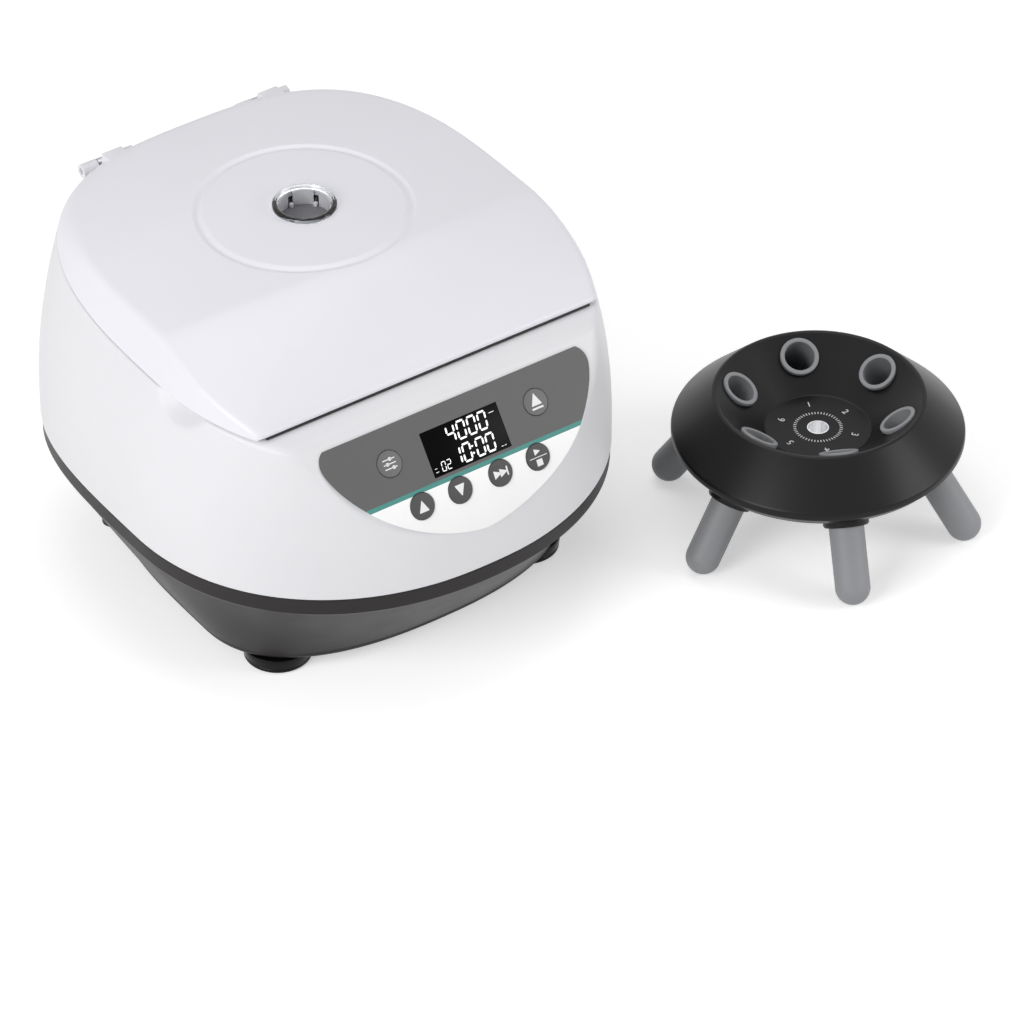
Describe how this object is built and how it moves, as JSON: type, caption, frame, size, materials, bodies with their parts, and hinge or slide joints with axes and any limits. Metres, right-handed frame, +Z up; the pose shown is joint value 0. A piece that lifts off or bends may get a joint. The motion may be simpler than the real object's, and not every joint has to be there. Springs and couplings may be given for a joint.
{
  "type": "benchtop tube centrifuge",
  "caption": "Benchtop tube centrifuge with a hinged lid, round sight glass and sloping key panel; its angle rotor with tube sleeves stands beside it.",
  "frame": {"origin": "on the bench, directly below the spindle axis of the machine", "axes": "+X to the right of the machine, +Y to its rear, +Z up; the rotor stands at the right front"},
  "size_m": [0.4821, 0.3754, 0.2198],
  "materials": {
    "housing_white": "fine satin moulding",
    "base_grey": "fine matt moulding",
    "rubber_black": "matt",
    "panel_film": "printed satin film",
    "display_black": "gloss",
    "clear_plastic": "clear gloss",
    "bowl_steel": "spun satin",
    "shaft_steel": "turned",
    "zinc_steel": "zinc plated",
    "motor_aluminium": "cast, turned ends",
    "board_green": "solder mask",
    "black_plastic": "satin",
    "key_grey": "satin",
    "rotor_black": "black anodised, satin",
    "sleeve_grey": "grey, satin"
  },
  "bodies": {
    "machine": {"base_tub": "base_grey", "base_feet": "rubber_black", "foot_screws": "zinc_steel", "upper_housing": "housing_white", "rear_plate": "base_grey", "power_inlet": "black_plastic", "inlet_pins": "shaft_steel", "switch_frame": "black_plastic", "fuse_holder": "black_plastic", "chamber_bowl": "bowl_steel", "chamber_gasket": "rubber_black", "bowl_posts": "zinc_steel", "motor_plate": "zinc_steel", "motor_isolators": "rubber_black", "motor_can": "motor_aluminium", "shaft_bearings": "shaft_steel", "shaft_boot": "rubber_black", "control_fascia": "panel_film", "display_lens": "display_black", "display_module": "black_plastic", "control_board": "board_green", "key_board": "board_green", "power_board": "board_green", "power_parts": "black_plastic", "lock_housing": "zinc_steel", "lid_switch": "black_plastic", "hinge_brackets": "zinc_steel", "hinge_pins": "shaft_steel", "case_screws": "zinc_steel"},
    "lid": {"lid_shell": "housing_white", "lid_liner": "housing_white", "lid_window": "clear_plastic", "sight_tube": "housing_white", "lid_seal": "rubber_black", "lid_hook": "zinc_steel", "lid_arms": "zinc_steel", "lid_bumpers": "rubber_black", "lid_screws": "zinc_steel"},
    "spindle": {"motor_shaft": "shaft_steel", "drive_hub": "shaft_steel", "motor_armature": "zinc_steel"},
    "washer": {"nut_washer": "shaft_steel"},
    "nut": {"rotor_nut": "black_plastic"},
    "rocker": {"rocker_switch": "black_plastic"},
    "bolt": {"lock_bolt": "shaft_steel"},
    "key_set_cap": {"key_set": "key_grey"},
    "key_open_cap": {"key_open": "key_grey"},
    "key_up_cap": {"key_up": "key_grey"},
    "key_down_cap": {"key_down": "key_grey"},
    "key_pulse_cap": {"key_pulse": "key_grey"},
    "key_start_cap": {"key_start": "key_grey"},
    "rotor": {"rotor_dish": "rotor_black", "tube_sleeve_1": "sleeve_grey", "tube_sleeve_2": "sleeve_grey", "tube_sleeve_3": "sleeve_grey", "tube_sleeve_4": "sleeve_grey", "tube_sleeve_5": "sleeve_grey", "tube_sleeve_6": "sleeve_grey", "sleeve_pads": "rubber_black"}
  },
  "joints": [
    {"name": "lid_hinge", "type": "hinge", "parent": "machine", "child": "lid", "pos_m": [0, 0.1225, 0.1975], "axis": [-1, 0, 0], "range_deg": [0, 75]},
    {"name": "spindle_spin", "type": "hinge", "parent": "machine", "child": "spindle", "pos_m": [0, 0, 0.1], "axis": [0, 0, 1], "continuous": true},
    {"name": "washer_rise", "type": "slide", "parent": "spindle", "child": "washer", "axis": [0, 0, 1], "range_m": [0, 0.005]},
    {"name": "nut_turn", "type": "hinge", "parent": "washer", "child": "nut", "pos_m": [0, 0, 0.15], "axis": [0, 0, 1], "range_deg": [0, 1800]},
    {"name": "key_set_press", "type": "slide", "parent": "machine", "child": "key_set_cap", "axis": [0, 0.7986, -0.6018], "range_m": [0, 0.0005], "stiffness_N_per_m": 800, "springref_m": -0.001},
    {"name": "key_open_press", "type": "slide", "parent": "machine", "child": "key_open_cap", "axis": [0, 0.7986, -0.6018], "range_m": [0, 0.0005], "stiffness_N_per_m": 800, "springref_m": -0.001},
    {"name": "key_up_press", "type": "slide", "parent": "machine", "child": "key_up_cap", "axis": [0, 0.866, -0.5], "range_m": [0, 0.0005], "stiffness_N_per_m": 800, "springref_m": -0.001},
    {"name": "key_down_press", "type": "slide", "parent": "machine", "child": "key_down_cap", "axis": [0, 0.866, -0.5], "range_m": [0, 0.0005], "stiffness_N_per_m": 800, "springref_m": -0.001},
    {"name": "key_pulse_press", "type": "slide", "parent": "machine", "child": "key_pulse_cap", "axis": [0, 0.866, -0.5], "range_m": [0, 0.0005], "stiffness_N_per_m": 800, "springref_m": -0.001},
    {"name": "key_start_press", "type": "slide", "parent": "machine", "child": "key_start_cap", "axis": [0, 0.866, -0.5], "range_m": [0, 0.0005], "stiffness_N_per_m": 800, "springref_m": -0.001},
    {"name": "rocker_rock", "type": "hinge", "parent": "machine", "child": "rocker", "pos_m": [0.04, 0.1197, 0.106], "axis": [0, 0, 1], "range_deg": [0, 16]},
    {"name": "bolt_throw", "type": "slide", "parent": "machine", "child": "bolt", "axis": [-1, 0, 0], "range_m": [0, 0.005], "stiffness_N_per_m": 150, "springref_m": -0.003},
    {"name": "rotor_lift", "type": "slide", "parent": "machine", "child": "rotor", "axis": [0, 0, 1], "range_m": [0, 0.1]}
  ],
  "couplings": [
    {"joint": "washer_rise", "follows": "nut_turn", "m_per_rad": 0.00015915}
  ]
}
